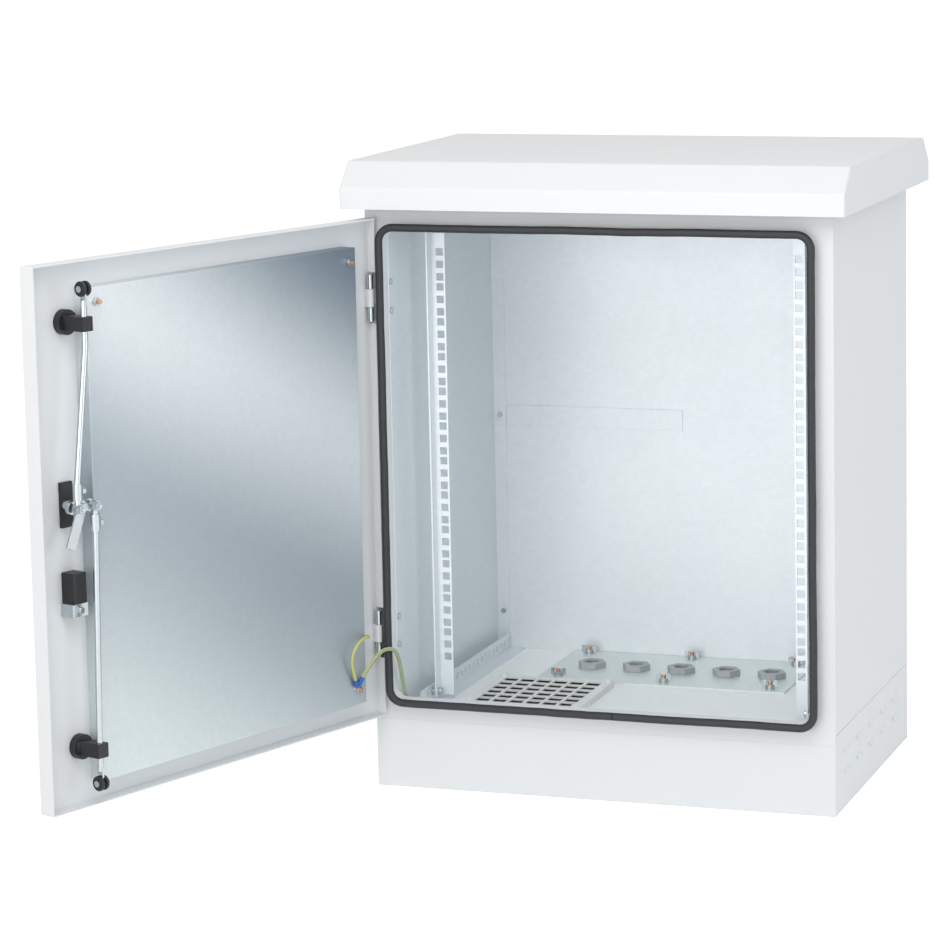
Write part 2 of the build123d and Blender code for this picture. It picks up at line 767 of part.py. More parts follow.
save_on_door("rod_guides", *[rod_guide(height) for height in guide_heights])
plate_z = (lock_height - lock_plate_height / 2, lock_height + lock_plate_height / 2)
plate_depth = sheet + lock_plate_thickness
lock_plate = block((lock_x - lock_plate_width / 2, lock_x + lock_plate_width / 2), in_door(sheet, plate_depth), plate_z)
lock_plate -= round_bar(lock_x, in_door(sheet, plate_depth), lock_height, spindle_radius + running_clearance)
save_on_door("lock_plate", lock_plate)
boss_y = in_door(plate_depth, cam_front - side_clearance)
lock_boss = round_bar(lock_x, boss_y, lock_height, boss_radius)
save_on_door("lock_boss", lock_boss - round_bar(lock_x, boss_y, lock_height, spindle_radius + running_clearance))

case_z = (case_bottom, case_bottom + case_height)
case_x = (lock_x - case_width / 2, lock_x + case_width / 2)
lock_case = block(case_x, in_door(sheet, sheet + case_depth), case_z)
lock_case -= block((case_x[0] + case_wall, case_x[1] - case_wall), in_door(sheet, sheet + case_depth - case_wall),
                   (case_z[0] + case_wall, case_z[1] - case_wall))
save_on_door("lock_case", lock_case)
clamp_x = (lock_x - clamp_width / 2, lock_x + clamp_width / 2)
clamp_z = (case_bottom - clamp_height, case_bottom)
clamp_face = sheet + case_depth - clamp_sheet / 2
clamp = block(clamp_x, in_door(sheet, clamp_face), clamp_z)
clamp -= block((clamp_x[0] + clamp_sheet, clamp_x[1] - clamp_sheet), in_door(sheet, clamp_face - clamp_sheet), clamp_z)
clamp_screw_y = in_door(clamp_face, clamp_face + hinge_plate_thickness)
save_on_door("lock_clamp", clamp, round_bar(lock_x, clamp_screw_y, (clamp_z[0] + clamp_z[1]) / 2, clamp_screw_radius))

# Spindle with its cam, middle tongue and outside hub
lift_pin_x = lock_x - lift_pin_reach
grip_y = in_door(-base_thickness - handle_clearance - grip_thickness, -base_thickness - handle_clearance)
grip_middle = (grip_y[0] + grip_y[1]) / 2
cam_back = cam_front + cam_thickness
tongue_back = cam_back + tongue_thickness
pin_half = grip_width / 2
tongue_z = (lock_height - tongue_half_width, lock_height + tongue_half_width)
spindle = round_bar(lock_x, in_door(-base_thickness - handle_clearance, cam_front), lock_height, spindle_radius)
spindle += round_bar(lock_x, grip_y, lock_height, hub_radius)
spindle += block((lift_pin_x, lock_x), (grip_y[0] + handle_clearance / 2, grip_y[1] - handle_clearance / 2), tongue_z)
spindle += round_bar(lift_pin_x, grip_middle, tongue_z, tongue_half_width)
spindle -= round_bar(lift_pin_x, grip_middle, tongue_z, lift_pin_radius)
save_on_door("handle_spindle", spindle)
cam_z = (lock_height - cam_width / 2, lock_height + cam_width / 2)
cam = block((lock_x - pin_circle, lock_x + pin_circle), in_door(cam_front, cam_back), cam_z)
for side in (-1, 1):
    cam += round_bar(lock_x + side * pin_circle, in_door(cam_front, cam_back), lock_height, cam_width / 2)
save_on_door("lock_cam", cam)
blade = block((lock_x - tongue_width / 2, lock_x + tongue_width / 2), in_door(cam_back, tongue_back),
              (lock_height - tongue_length, lock_height))
blade += round_bar(lock_x, in_door(cam_back, tongue_back), lock_height, tongue_width / 2)
turn = Pos(lock_x, 0, lock_height) * Rot(0, -tongue_angle, 0) * Pos(-lock_x, 0, -lock_height)
save_on_door("lock_tongue", turn * blade)
save_on_door("cam_bolt", hexagon(lock_x, in_door(tongue_back, tongue_back + cam_bolt_height), lock_height, cam_bolt_flats))
save_on_door("lift_pin", round_bar(lift_pin_x, grip_middle, (lock_height - pin_half, lock_height + pin_half), lift_pin_radius))

# Grip that folds out about the lift pin
grip_heel = lift_pin_x - ear_radius - 0.5
grip_z = (lock_height - pin_half, lock_height + pin_half)
grip = block((grip_heel - grip_length, grip_heel), grip_y, grip_z)
ear_gap = tongue_half_width + side_clearance
for ear_z in ((grip_z[0], lock_height - ear_gap), (lock_height + ear_gap, grip_z[1])):
    ear = block((grip_heel, lift_pin_x), grip_y, ear_z) + round_bar(lift_pin_x, grip_middle, ear_z, grip_thickness / 2)
    grip += ear - round_bar(lift_pin_x, grip_middle, ear_z, lift_pin_radius + running_clearance)
save_on_door("handle_grip", grip)

base_y = in_door(-base_thickness, 0)
handle_base = block((lock_x - base_width / 2, lock_x + base_width / 2), base_y, base_z)
handle_base -= round_bar(lock_x, base_y, lock_height, spindle_radius + running_clearance)
handle_base -= round_bar(lock_x, base_y, barrel_height, barrel_radius + running_clearance)
save_on_door("handle_base", handle_base)
barrel_y = in_door(-base_thickness - side_clearance, sheet + case_depth - case_wall - 2.0)
barrel = round_bar(lock_x, barrel_y, barrel_height, barrel_radius)
barrel += block((lock_x - case_wall, lock_x + case_wall), (barrel_y[1] - guide_wall, barrel_y[1]),
                (barrel_height, barrel_height + barrel_tail))
barrel -= block((lock_x - key_slot_half_width, lock_x + key_slot_half_width), (barrel_y[0], barrel_y[0] + hinge_plate_thickness),
                (barrel_height - key_slot_half_height, barrel_height + key_slot_half_height))
save_on_door("lock_barrel", barrel)


# Rods with their rollers
rod_y = skin + rod_depth


def lock_rod(sign, roller_z, guide_z):
    """Return one rod from its eye at the cam to the plate that holds the rollers."""
    start_x = lock_x + sign * pin_circle
    sleeve_z = (lock_height + sign * (eye_radius + rod_radius), lock_height + sign * (eye_radius + rod_radius + sleeve_length))
    rod = round_bar(start_x, in_door(rod_depth - rod_radius, rod_depth + rod_radius), lock_height, eye_radius)
    points = [(start_x, rod_y, lock_height), (start_x, rod_y, sleeve_z[1]),
              (rod_x, rod_y, guide_z - sign * (guide_height / 2 + bend_gap)), (rod_x, rod_y, roller_z - sign * rod_end)]
    for near, far in zip(points, points[1:]):
        rod += strut(near, far, rod_radius)
    rod += round_bar(start_x, rod_y, tuple(sorted(sleeve_z)), sleeve_radius)
    plate_z = sorted((roller_z - sign * (rod_end + rod_radius), roller_z + sign * roller_plate_end))
    rod += block((rod_x - roller_plate / 2, rod_x + roller_plate / 2),
                 (rod_y - roller_plate_width / 2, rod_y + roller_plate_width / 2), plate_z)
    return rod - round_bar((rod_x - roller_plate, rod_x + roller_plate), rod_y, roller_z, roller_axle_radius)


def rollers(roller_z):
    """Return the two rollers, one on each side of the rod's plate."""
    pair = []
    for side in (-1, 1):
        near = roller_plate / 2 + side_clearance
        x = tuple(sorted((rod_x + side * near, rod_x + side * (near + roller_width))))
        wheel = round_bar(x, rod_y, roller_z, roller_radius)
        pair.append(wheel - round_bar(x, rod_y, roller_z, roller_axle_radius + running_clearance))
    return pair


def axle(roller_z):
    """Return the rivet that carries both rollers."""
    half = roller_plate / 2 + 2 * side_clearance + roller_width
    rivet = round_bar((rod_x - half, rod_x + half), rod_y, roller_z, roller_axle_radius)
    for side in (-1, 1):
        x = tuple(sorted((rod_x + side * half, rod_x + side * (half + 1.5))))
        rivet += round_bar(x, rod_y, roller_z, roller_axle_radius + 1.2)
    return rivet


save_on_door("rod_upper", lock_rod(1, top_roller_height, guide_heights[0]), axle(top_roller_height))
save_on_door("rod_lower", lock_rod(-1, bottom_roller_height, guide_heights[1]), axle(bottom_roller_height))
save_on_door("rollers_upper", *rollers(top_roller_height))
save_on_door("rollers_lower", *rollers(bottom_roller_height))


# Earth leads. The points are chosen by hand, with Y measured back from the
# body's front. Lead one stays on the door, and its points are those of the
# shut door. Lead two crosses the hinge.
lead_one_route = [(-219.0, 4.6, 156.1), (-213.0, 6.5, 168.0), (-207.5, 9.0, 183.0), (-210.0, 12.0, 198.0),
                  (-223.0, 13.0, 207.5), (-238.0, 10.0, 208.0), (-250.5, 0.5, 204.0), (-253.9, -9.4, 201.0)]
lead_two_route = [(-286.8, -71.9, 156.5), (-282.6, -66.6, 165.3), (-278.3, -58.5, 173.8), (-274.6, -48.5, 180.6),
                  (-270.6, -37.5, 185.3), (-262.8, -25.5, 184.3), (-260.3, -15.5, 172.0), (-260.6, -7.0, 153.0),
                  (-261.4, 1.0, 133.5), (-261.2, 9.5, 116.5), (-259.2, 15.2, 103.5)]
lead_one_points = [(x, front + y, z) for x, y, z in lead_one_route]
lead_two_points = [(x, front + y, z) for x, y, z in lead_two_route]


def lead(name, points):
    """Return a lead's tube, with each arc as large as its two runs allow."""
    radii = []
    for before, here, after in zip(points, points[1:], points[2:]):
        arriving = Vector(*here) - Vector(*before)
        leaving = Vector(*after) - Vector(*here)
        shorter = min(arriving.length, leaving.length)
        radii.append(0.45 * shorter / tan(radians(arriving.get_angle(leaving)) / 2))
    path = FilletPolyline(*points, radius=radii)
    tube = sweep(Plane(origin=path @ 0, z_dir=path % 0) * Circle(lead_diameter / 2), path=path)
    ratio = tube.volume / (path.length * pi * lead_diameter**2 / 4)
    print(name, "radii", [round(value, 1) for value in radii], "length", round(path.length, 1), "ratio", round(ratio, 5))
    return tube


def terminal_sleeve(tip, toward):
    """Return the insulating sleeve that ends at a lead's tip."""
    plane = Plane(origin=tip, z_dir=Vector(*tip) - Vector(*toward))
    return extrude(plane * Circle(terminal_sleeve_radius), amount=terminal_sleeve_length)


save_on_door("earth_lead_door", lead("earth_lead_door", lead_one_points))
save("earth_lead_hinge", lead("earth_lead_hinge", lead_two_points))

stud_at = (hinge_edge + earth_stud_from_hinge_edge, earth_stud_height)
tab_top = earth_stud_height + ring_radius + 0.5
rings = []
for layer in (0, 1):
    ring_y = in_door(lining_face + layer * ring_thickness, lining_face + (layer + 1) * ring_thickness)
    ring = round_bar(stud_at[0], ring_y, stud_at[1], ring_radius)
    tab_x = (stud_at[0], stud_at[0] + 4.0) if layer == 0 else (stud_at[0] - 4.0, stud_at[0])
    ring += block(tab_x, ring_y, (stud_at[1] + 2.0, tab_top))
    rings.append(ring - round_bar(stud_at[0], ring_y, stud_at[1], door_stud_radius))
save_on_door("terminal_rings", *rings)
save("terminal_sleeves", swing * terminal_sleeve(lead_one_points[0], lead_one_points[1]),
     swing * terminal_sleeve(lead_one_points[-1], lead_one_points[-2]),
     terminal_sleeve(lead_two_points[0], lead_two_points[1]))

earth_x = lead_two_points[-1][0] + 2.0
earth_y = lead_two_points[-1][1] + 11.0
floor_ring = round_bar(earth_x, earth_y, (floor_top, floor_top + ring_thickness), ring_radius)
floor_ring += block((earth_x - 2.0, earth_x + 2.0), (earth_y - 8.0, earth_y), (floor_top, floor_top + ring_thickness))
floor_ring -= round_bar(earth_x, earth_y, (floor_top, floor_top + ring_thickness), door_stud_radius)
nut_z = (floor_top + ring_thickness, floor_top + ring_thickness + door_nut_height)
floor_nut = hexagon(earth_x, earth_y, nut_z, door_nut_flats) - round_bar(earth_x, earth_y, nut_z, door_stud_radius)
floor_stud = round_bar(earth_x, earth_y, (floor_top, floor_top + 12.0), door_stud_radius)
save("floor_earth", floor_ring, floor_nut, floor_stud, terminal_sleeve(lead_two_points[-1], lead_two_points[-2]))
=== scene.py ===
"""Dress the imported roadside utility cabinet: finishes, rounded sheet metal, leads and studio."""

from __future__ import annotations

import json
import logging
import math
from dataclasses import dataclass, field
from enum import Enum

import bmesh
import bpy
from mathutils import Matrix, Vector, noise


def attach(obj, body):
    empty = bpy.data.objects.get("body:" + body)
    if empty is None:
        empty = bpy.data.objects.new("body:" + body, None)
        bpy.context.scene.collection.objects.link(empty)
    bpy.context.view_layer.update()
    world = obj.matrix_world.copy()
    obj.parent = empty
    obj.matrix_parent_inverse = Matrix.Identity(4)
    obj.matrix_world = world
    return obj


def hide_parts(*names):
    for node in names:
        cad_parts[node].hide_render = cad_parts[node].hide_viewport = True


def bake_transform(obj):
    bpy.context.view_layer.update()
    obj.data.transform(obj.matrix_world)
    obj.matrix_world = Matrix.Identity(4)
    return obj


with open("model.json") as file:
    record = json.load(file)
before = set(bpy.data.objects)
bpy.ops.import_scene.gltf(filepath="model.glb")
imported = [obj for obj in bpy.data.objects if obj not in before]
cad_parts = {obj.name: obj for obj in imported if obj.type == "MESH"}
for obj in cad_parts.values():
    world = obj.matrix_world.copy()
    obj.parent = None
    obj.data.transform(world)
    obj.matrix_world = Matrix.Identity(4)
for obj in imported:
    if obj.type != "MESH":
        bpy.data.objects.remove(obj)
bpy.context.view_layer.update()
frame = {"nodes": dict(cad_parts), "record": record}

LOG = logging.getLogger("cabinet")
MM = 0.001
MERGE = 2e-6
RGB = tuple[float, float, float]
Triple = tuple[float, float, float]
EVEN: Triple = (1.0, 1.0, 1.0)
WHITE_LIGHT: RGB = (1.0, 1.0, 1.0)
DOOR_OPEN = math.radians(110.0)


class Coordinates(Enum):
    """The coordinates a finish reads its pattern from."""

    OBJECT = "Object"
    UV = "UV"


class Tree:
    """A small wrapper that adds and links the nodes of one material."""

    def __init__(self, name: str) -> None:
        """Start an empty material with an output and a Principled shader.

        Args:
            name: The material's name.
        """
        self.material = bpy.data.materials.new(name)
        self.material.use_nodes = True
        self.nodes = self.material.node_tree.nodes
        self.links = self.material.node_tree.links
        self.nodes.clear()
        self.output = self.nodes.new("ShaderNodeOutputMaterial")
        self.shader = self.nodes.new("ShaderNodeBsdfPrincipled")
        self.links.new(self.shader.outputs["BSDF"], self.output.inputs["Surface"])

    def add(self, kind: str, **values: object) -> bpy.types.Node:
        """Add a node.

        Args:
            kind: The node's type, without its ShaderNode prefix.
            values: Attributes of the node, by name.

        Returns:
            The new node.
        """
        node = self.nodes.new("ShaderNode" + kind)
        for name, value in values.items():
            setattr(node, name, value)
        return node

    def coordinates(self, scale: Triple = EVEN, kind: Coordinates = Coordinates.OBJECT) -> bpy.types.NodeSocket:
        """Return pattern coordinates, stretched by a scale along each axis.

        Args:
            scale: The pattern's scale along each axis.
            kind: The coordinates that are read.

        Returns:
            The vector socket.
        """
        source = self.add("TexCoord")
        mapping = self.add("Mapping")
        mapping.inputs["Scale"].default_value = scale
        self.links.new(source.outputs[kind.value], mapping.inputs["Vector"])
        return mapping.outputs["Vector"]

    def noise(self, size_mm: float, detail: float = 2.0, stretch: Triple = EVEN) -> bpy.types.NodeSocket:
        """Return a noise value whose features are about size_mm across.

        Args:
            size_mm: The size of the noise's features.
            detail: How many finer layers it has.
            stretch: Its scale along each axis, against the others.

        Returns:
            The noise, from 0 to 1.
        """
        scale = 1.0 / (size_mm * MM)
        texture = self.add("TexNoise")
        texture.inputs["Scale"].default_value = 1.0
        texture.inputs["Detail"].default_value = detail
        vector = self.coordinates(tuple(scale * part for part in stretch))
        self.links.new(vector, texture.inputs["Vector"])
        return texture.outputs["Fac"]

    def cells(self, size_mm: float) -> bpy.types.NodeSocket:
        """Return a random value for each flat crystal, about size_mm across.

        Args:
            size_mm: The size of a crystal.

        Returns:
            The random value, from 0 to 1.
        """
        texture = self.add("TexVoronoi", feature="F1")
        texture.inputs["Scale"].default_value = 1.0
        vector = self.coordinates((1.0 / (size_mm * MM),) * 3)
        self.links.new(vector, texture.inputs["Vector"])
        split = self.add("SeparateColor")
        self.links.new(texture.outputs["Color"], split.inputs["Color"])
        return split.outputs["Red"]

    def span(self, value: bpy.types.NodeSocket, low: float, high: float, floor: float = 0.0,
             top: float = 1.0) -> bpy.types.NodeSocket:
        """Map a value from floor..top to low..high.

        Args:
            value: The value.
            low: What floor becomes.
            high: What top becomes.
            floor: The value's lower end.
            top: The value's upper end.

        Returns:
            The mapped value.
        """
        node = self.add("MapRange")
        node.inputs["From Min"].default_value = floor
        node.inputs["From Max"].default_value = top
        node.inputs["To Min"].default_value = low
        node.inputs["To Max"].default_value = high
        self.links.new(value, node.inputs["Value"])
        return node.outputs["Result"]

    def blend(self, value: bpy.types.NodeSocket, low: RGB, high: RGB) -> bpy.types.NodeSocket:
        """Return a colour between two others.

        Args:
            value: How far the colour goes, from 0 to 1.
            low: The colour at 0.
            high: The colour at 1.

        Returns:
            The mixed colour.
        """
        node = self.add("Mix", data_type="RGBA")
        for socket, colour in ((node.inputs[6], low), (node.inputs[7], high)):
            socket.default_value = (*colour, 1.0)
        self.links.new(value, node.inputs[0])
        return node.outputs[2]

    def bump(self, height: bpy.types.NodeSocket, depth_mm: float) -> None:
        """Raise the surface by a height pattern of this depth.

        Args:
            height: The pattern, from 0 to 1.
            depth_mm: The height of the pattern's 1.
        """
        node = self.add("Bump")
        node.inputs["Strength"].default_value = 1.0
        node.inputs["Distance"].default_value = depth_mm * MM
        self.links.new(height, node.inputs["Height"])
        self.links.new(node.outputs["Normal"], self.shader.inputs["Normal"])

    def colour(self, socket: bpy.types.NodeSocket) -> None:
        """Feed the base colour."""
        self.links.new(socket, self.shader.inputs["Base Color"])

    def roughness(self, socket: bpy.types.NodeSocket) -> None:
        """Feed the roughness."""
        self.links.new(socket, self.shader.inputs["Roughness"])


@dataclass(frozen=True)
class PowderCoat:
    """Satin polyester powder coat with a fine orange peel."""

    name: str
    colour: RGB
    roughness: float = 0.42
    peel_mm: float = 1.6
    peel_depth_mm: float = 0.012
    cloud_mm: float = 90.0
    cloud_shade: float = 0.975
    sheen_mm: float = 25.0

    def material(self) -> bpy.types.Material:
        """Build the material.

        Returns:
            The new material.
        """
        tree = Tree(self.name)
        low = tuple(part * self.cloud_shade for part in self.colour)
        tree.colour(tree.blend(tree.noise(self.cloud_mm, 3.0), low, self.colour))
        tree.roughness(tree.span(tree.noise(self.sheen_mm, 4.0), self.roughness - 0.04, self.roughness + 0.05))
        tree.bump(tree.noise(self.peel_mm, 2.0), self.peel_depth_mm)
        return tree.material


@dataclass(frozen=True, kw_only=True)
class BareSheet:
    """What all bare galvanised sheet shares: faint spangle, cloudy sheen and rolling marks."""

    name: str
    roughness: float = 0.46
    metallic: float = 0.40
    spangle_mm: float = 6.0
    spangle_shade: float = 0.965
    sheen_mm: float = 40.0
    rolling_mm: float = 1.2
    rolling_depth_mm: float = 0.004
    rolling_stretch: Triple = (1.0, 1.0, 0.12)

    def surface(self, tree: Tree, colour: bpy.types.NodeSocket) -> None:
        """Finish a tree with the sheet's spangle, roughness and grain.

        Args:
            tree: The material's tree.
            colour: The sheet's colour before the spangle.
        """
        crystal = tree.add("Mix", data_type="RGBA", blend_type="MULTIPLY")
        crystal.inputs[0].default_value = 1.0
        tree.links.new(colour, crystal.inputs[6])
        spangle = tree.blend(tree.cells(self.spangle_mm), (self.spangle_shade,) * 3, (1.0, 1.0, 1.0))
        tree.links.new(spangle, crystal.inputs[7])
        tree.colour(crystal.outputs[2])
        tree.roughness(tree.span(tree.noise(self.sheen_mm, 4.0), self.roughness - 0.05, self.roughness + 0.05))
        tree.bump(tree.noise(self.rolling_mm, 2.0, self.rolling_stretch), self.rolling_depth_mm)
        tree.shader.inputs["Metallic"].default_value = self.metallic


@dataclass(frozen=True, kw_only=True)
class Galvanised(BareSheet):
    """Bare sheet whose colour drifts slowly between two greys."""

    light: RGB
    dark: RGB
    cloud_mm: float = 160.0

    def material(self) -> bpy.types.Material:
        """Build the material.

        Returns:
            The new material.
        """
        tree = Tree(self.name)
        self.surface(tree, tree.blend(tree.noise(self.cloud_mm, 3.0), self.dark, self.light))
        return tree.material


@dataclass(frozen=True, kw_only=True)
class PaintedReflectionSheet(BareSheet):
    """The door's bright lining, with a painted reflection: slanted dark and light bands in its colour."""

    across: Triple = (-0.2208, -0.6067, -1.2359)
    offset: float = 0.635
    # painted reflection: these dark and light colours stand in for the studio mirrored in the satin lining
    reflection_stops: tuple[tuple[float, RGB], ...] = (
        (0.0, (0.20, 0.25, 0.30)), (0.30, (0.76, 0.80, 0.82)), (0.56, (0.40, 0.45, 0.49)), (1.0, (0.68, 0.74, 0.74)))

    def material(self) -> bpy.types.Material:
        """Build the material.

        Returns:
            The new material.
        """
        tree = Tree(self.name)
        where = tree.add("VectorMath", operation="DOT_PRODUCT")
        tree.links.new(tree.coordinates(), where.inputs[0])
        where.inputs[1].default_value = self.across
        placed = tree.add("Math", operation="ADD")
        placed.inputs[1].default_value = self.offset
        tree.links.new(where.outputs["Value"], placed.inputs[0])
        # painted reflection: a ramp across the lining lays the slanted reflection bands into its base colour
        ramp = tree.add("ValToRGB")
        ramp.color_ramp.interpolation = "EASE"
        elements = ramp.color_ramp.elements
        for place, colour in self.reflection_stops[1:-1]:
            elements.new(place).color = (*colour, 1.0)
        elements[0].color = (*self.reflection_stops[0][1], 1.0)
        elements[-1].color = (*self.reflection_stops[-1][1], 1.0)
        tree.links.new(placed.outputs[0], ramp.inputs["Fac"])
        self.surface(tree, ramp.outputs["Color"])
        return tree.material


@dataclass(frozen=True)
class PlatedMetal:
    """Small plated or cast metal pieces with a fine brushed grain."""

    name: str
    light: RGB
    dark: RGB
    roughness: float = 0.30
    cloud_mm: float = 6.0
    sheen_mm: float = 3.0
    grain_mm: float = 0.8
    grain_depth_mm: float = 0.001

    def material(self) -> bpy.types.Material:
        """Build the material.

        Returns:
            The new material.
        """
        tree = Tree(self.name)
        tree.colour(tree.blend(tree.noise(self.cloud_mm, 4.0), self.dark, self.light))
        tree.roughness(tree.span(tree.noise(self.sheen_mm, 3.0), self.roughness - 0.03, self.roughness + 0.05))
        tree.bump(tree.noise(self.grain_mm, 3.0), self.grain_depth_mm)
        tree.shader.inputs["Metallic"].default_value = 1.0
        return tree.material


@dataclass(frozen=True)
class Moulded:
    """Moulded plastic or rubber with a fine grain."""

    name: str
    colour: RGB
    roughness: float = 0.5
    grain_mm: float = 0.7
    depth_mm: float = 0.02
    lift: float = 1.25
    cloud_mm: float = 8.0
    sheen_mm: float = 5.0

    def material(self) -> bpy.types.Material:
        """Build the material.

        Returns:
            The new material.
        """
        tree = Tree(self.name)
        high = tuple(min(1.0, part * self.lift) for part in self.colour)
        tree.colour(tree.blend(tree.noise(self.cloud_mm, 4.0), self.colour, high))
        tree.roughness(tree.span(tree.noise(self.sheen_mm, 3.0), self.roughness - 0.06, self.roughness + 0.06))
        tree.bump(tree.noise(self.grain_mm, 3.0), self.depth_mm)
        return tree.material


@dataclass(frozen=True)
class EarthSheath:
    """Yellow cable sheath with a green stripe along it, read from the tube's own UV map."""

    name: str
    yellow: RGB = (0.56, 0.53, 0.18)
    green: RGB = (0.32, 0.39, 0.25)
    roughness: float = 0.42
    stripe_edge: tuple[float, float] = (0.29, 0.33)
    sheen_mm: float = 4.0
    grain_mm: float = 0.9
    grain_depth_mm: float = 0.015

    def material(self) -> bpy.types.Material:
        """Build the material.

        Returns:
            The new material.
        """
        tree = Tree(self.name)
        split = tree.add("SeparateXYZ")
        tree.links.new(tree.coordinates(kind=Coordinates.UV), split.inputs["Vector"])
        wave = tree.add("Math", operation="PINGPONG")
        wave.inputs[1].default_value = 0.5
        tree.links.new(split.outputs["Y"], wave.inputs[0])
        stripe = tree.span(wave.outputs[0], 0.0, 1.0, *self.stripe_edge)
        tree.colour(tree.blend(stripe, self.yellow, self.green))
        tree.roughness(tree.span(tree.noise(self.sheen_mm, 3.0), self.roughness - 0.05, self.roughness + 0.05))
        tree.bump(tree.noise(self.grain_mm, 2.0), self.grain_depth_mm)
        return tree.material


class Finish(Enum):
    """Every finish on the cabinet."""

    PAINT = PowderCoat("painted_grey", (0.785, 0.80, 0.81))
    SHEET = Galvanised(name="galvanised", light=(0.83, 0.87, 0.89), dark=(0.77, 0.82, 0.85))
    # painted light: the floor plate is the galvanised sheet with its colour lifted almost to white, standing in for
    # the bright light in the bay
    FLOOR = Galvanised(name="galvanised_floor", light=(0.98, 0.99, 0.99), dark=(0.94, 0.96, 0.96), metallic=0.15)
    PLATE = Galvanised(name="galvanised_plate", light=(0.80, 0.85, 0.84), dark=(0.72, 0.77, 0.76), metallic=0.45)
    # the door lining carries a painted reflection in its colour
    LINING = PaintedReflectionSheet(name="galvanised_door", roughness=0.40)
    ZINC = PlatedMetal("zinc", (0.57, 0.61, 0.63), (0.49, 0.53, 0.55), 0.22)
    COPPER = PlatedMetal("copper", (0.80, 0.45, 0.32), (0.60, 0.32, 0.22))
    RUBBER = Moulded("black_rubber", (0.022, 0.023, 0.026), 0.55, 1.4, 0.03)
    BLACK = Moulded("black_plastic", (0.011, 0.011, 0.012), 0.45)
    BLACK_METAL = PowderCoat("black_metal", (0.022, 0.022, 0.023), 0.46, 1.0, 0.02)
    WHITE = Moulded("white_plastic", (0.80, 0.80, 0.79), 0.40, 0.7, 0.01, 1.05)
    GREY = Moulded("grey_plastic", (0.36, 0.38, 0.40), 0.42)
    BLUE = Moulded("blue_plastic", (0.012, 0.10, 0.42), 0.35, 0.7, 0.01)
    SHEATH = EarthSheath("yellow_green")


class Wardrobe:
    """Builds each finish once and hands it out."""

    def __init__(self) -> None:
        """Start with no material built."""
        self.built: dict[Finish, bpy.types.Material] = {}

    def dress(self, piece: bpy.types.Object, finish: Finish) -> None:
        """Give a piece one finish.

        Args:
            piece: The piece.
            finish: Its finish.
        """
        if finish not in self.built:
            self.built[finish] = finish.value.material()
        piece.data.materials.clear()
        piece.data.materials.append(self.built[finish])


